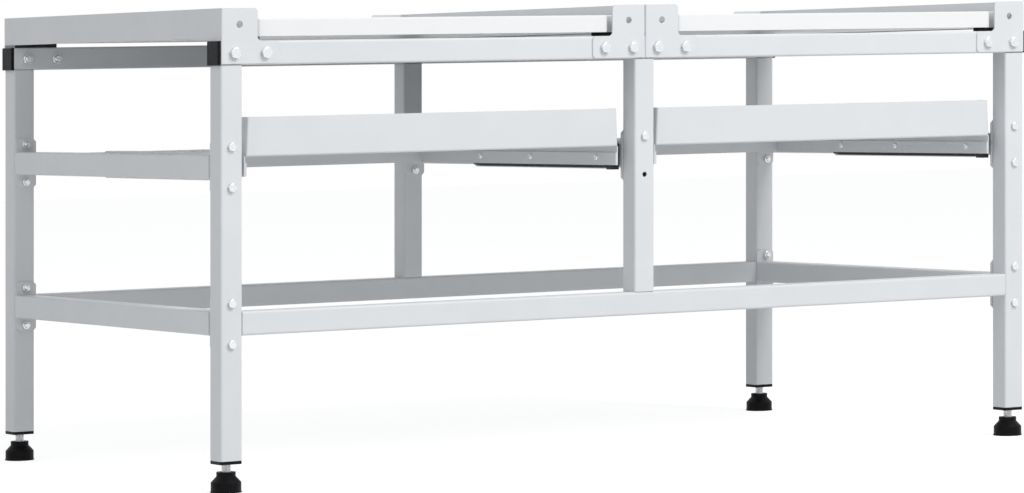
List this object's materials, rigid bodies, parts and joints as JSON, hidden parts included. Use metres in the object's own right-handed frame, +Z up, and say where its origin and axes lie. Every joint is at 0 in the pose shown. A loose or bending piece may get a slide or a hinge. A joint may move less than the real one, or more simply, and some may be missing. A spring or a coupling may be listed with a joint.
{
  "type": "appliance stand",
  "caption": "Low square-tube steel stand that carries household machines side by side, with side stops, pull-out trays on telescopic slides and levelling feet.",
  "frame": {"origin": "on the floor, under the middle of the stand", "axes": "+X to the right along the front, +Y to the back, +Z up"},
  "size_m": [1.244, 0.6446, 0.594],
  "materials": {
    "frame_paint": "light grey powder coat, satin",
    "tray_paint": "light grey powder coat, satin",
    "white_board": "white melamine face, smooth",
    "pad_rubber": "black, matt",
    "foot_plastic": "black, moulded",
    "black_plastic": "black, moulded",
    "zinc_steel": "bright zinc plate",
    "slide_zinc": "zinc plate, grey",
    "slide_black": "black coated steel"
  },
  "bodies": {
    "frame": {"center_mid_rail": "frame_paint", "frame_bolts": "zinc_steel", "frame_nuts": "zinc_steel", "front_bottom_rail": "frame_paint", "front_center_post": "frame_paint", "front_left_leg": "frame_paint", "front_right_leg": "frame_paint", "front_top_rail": "frame_paint", "left_board": "white_board", "left_board_pads": "pad_rubber", "left_bottom_rail": "frame_paint", "left_inner_stop": "frame_paint", "left_mid_rail": "frame_paint", "left_outer_stop": "frame_paint", "left_tray_left_slide_outer": "slide_zinc", "left_tray_right_slide_outer": "slide_zinc", "leg_plugs": "black_plastic", "rail_end_caps": "black_plastic", "rail_end_plates": "frame_paint", "rear_bottom_rail": "frame_paint", "rear_center_post": "frame_paint", "rear_left_leg": "frame_paint", "rear_right_leg": "frame_paint", "rear_top_rail": "frame_paint", "right_board": "white_board", "right_board_pads": "pad_rubber", "right_bottom_rail": "frame_paint", "right_inner_stop": "frame_paint", "right_mid_rail": "frame_paint", "right_outer_stop": "frame_paint", "right_tray_left_slide_outer": "slide_zinc", "right_tray_right_slide_outer": "slide_zinc", "stop_bolts": "zinc_steel", "stop_nuts": "zinc_steel"},
    "left_tray": {"left_tray": "tray_paint", "left_tray_strips": "tray_paint", "left_tray_screws": "zinc_steel", "left_tray_left_slide_inner": "slide_black", "left_tray_right_slide_inner": "slide_black"},
    "left_tray_middles": {"left_tray_left_slide_middle": "slide_black", "left_tray_right_slide_middle": "slide_black"},
    "right_tray": {"right_tray": "tray_paint", "right_tray_strips": "tray_paint", "right_tray_screws": "zinc_steel", "right_tray_left_slide_inner": "slide_black", "right_tray_right_slide_inner": "slide_black"},
    "right_tray_middles": {"right_tray_left_slide_middle": "slide_black", "right_tray_right_slide_middle": "slide_black"},
    "front_left_foot": {"front_left_foot": "foot_plastic", "front_left_stud": "zinc_steel"},
    "front_right_foot": {"front_right_foot": "foot_plastic", "front_right_stud": "zinc_steel"},
    "rear_left_foot": {"rear_left_foot": "foot_plastic", "rear_left_stud": "zinc_steel"},
    "rear_right_foot": {"rear_right_foot": "foot_plastic", "rear_right_stud": "zinc_steel"}
  },
  "joints": [
    {"name": "left_tray_pull", "type": "slide", "parent": "frame", "child": "left_tray", "axis": [0, -1, 0], "range_m": [0, 0.34]},
    {"name": "left_tray_middle_run", "type": "slide", "parent": "frame", "child": "left_tray_middles", "axis": [0, -1, 0], "range_m": [0, 0.17]},
    {"name": "right_tray_pull", "type": "slide", "parent": "frame", "child": "right_tray", "axis": [0, -1, 0], "range_m": [0, 0.34]},
    {"name": "right_tray_middle_run", "type": "slide", "parent": "frame", "child": "right_tray_middles", "axis": [0, -1, 0], "range_m": [0, 0.17]},
    {"name": "front_left_foot_level", "type": "slide", "parent": "frame", "child": "front_left_foot", "axis": [0, 0, -1], "range_m": [-0.005, 0.015]},
    {"name": "front_right_foot_level", "type": "slide", "parent": "frame", "child": "front_right_foot", "axis": [0, 0, -1], "range_m": [-0.005, 0.015]},
    {"name": "rear_left_foot_level", "type": "slide", "parent": "frame", "child": "rear_left_foot", "axis": [0, 0, -1], "range_m": [-0.005, 0.015]},
    {"name": "rear_right_foot_level", "type": "slide", "parent": "frame", "child": "rear_right_foot", "axis": [0, 0, -1], "range_m": [-0.005, 0.015]}
  ],
  "couplings": [
    {"joint": "left_tray_middle_run", "follows": "left_tray_pull", "ratio": 0.5},
    {"joint": "right_tray_middle_run", "follows": "right_tray_pull", "ratio": 0.5}
  ]
}
